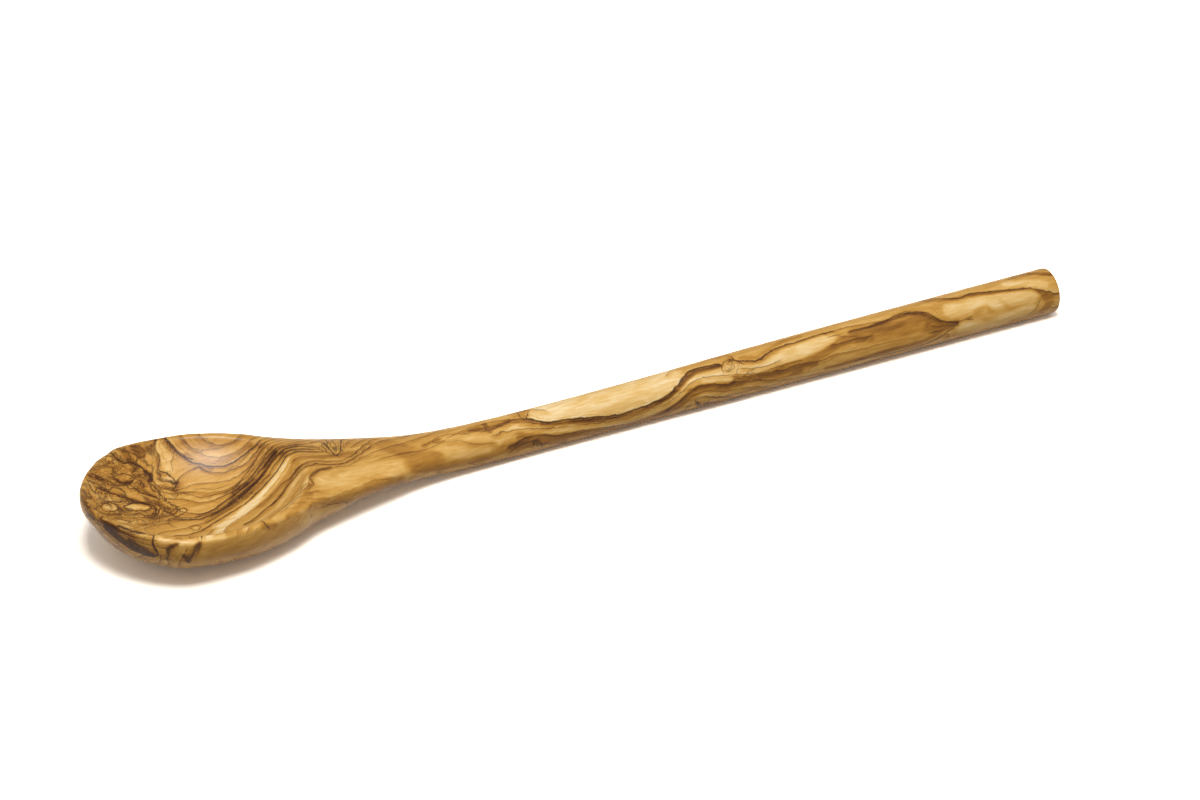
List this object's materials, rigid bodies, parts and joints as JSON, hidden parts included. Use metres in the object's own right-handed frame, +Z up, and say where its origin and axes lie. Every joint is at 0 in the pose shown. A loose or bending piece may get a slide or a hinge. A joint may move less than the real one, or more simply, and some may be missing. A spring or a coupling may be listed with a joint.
{
  "type": "wooden spoon",
  "caption": "Long-handled cooking spoon carved from a single piece of figured olive wood, with a broad hollow bowl, a swelling neck and a round handle.",
  "frame": {"origin": "on the table, under the middle of the spoon's length and width, as it lies with its hollow upwards", "axes": "+X from the bowl's tip along the handle to its end, +Y across the spoon, +Z up out of the hollow"},
  "size_m": [0.3, 0.0538, 0.021],
  "materials": {
    "olive_wood": "sanded smooth and oiled, satin"
  },
  "bodies": {
    "root": {"spoon": "olive_wood"}
  },
  "joints": []
}
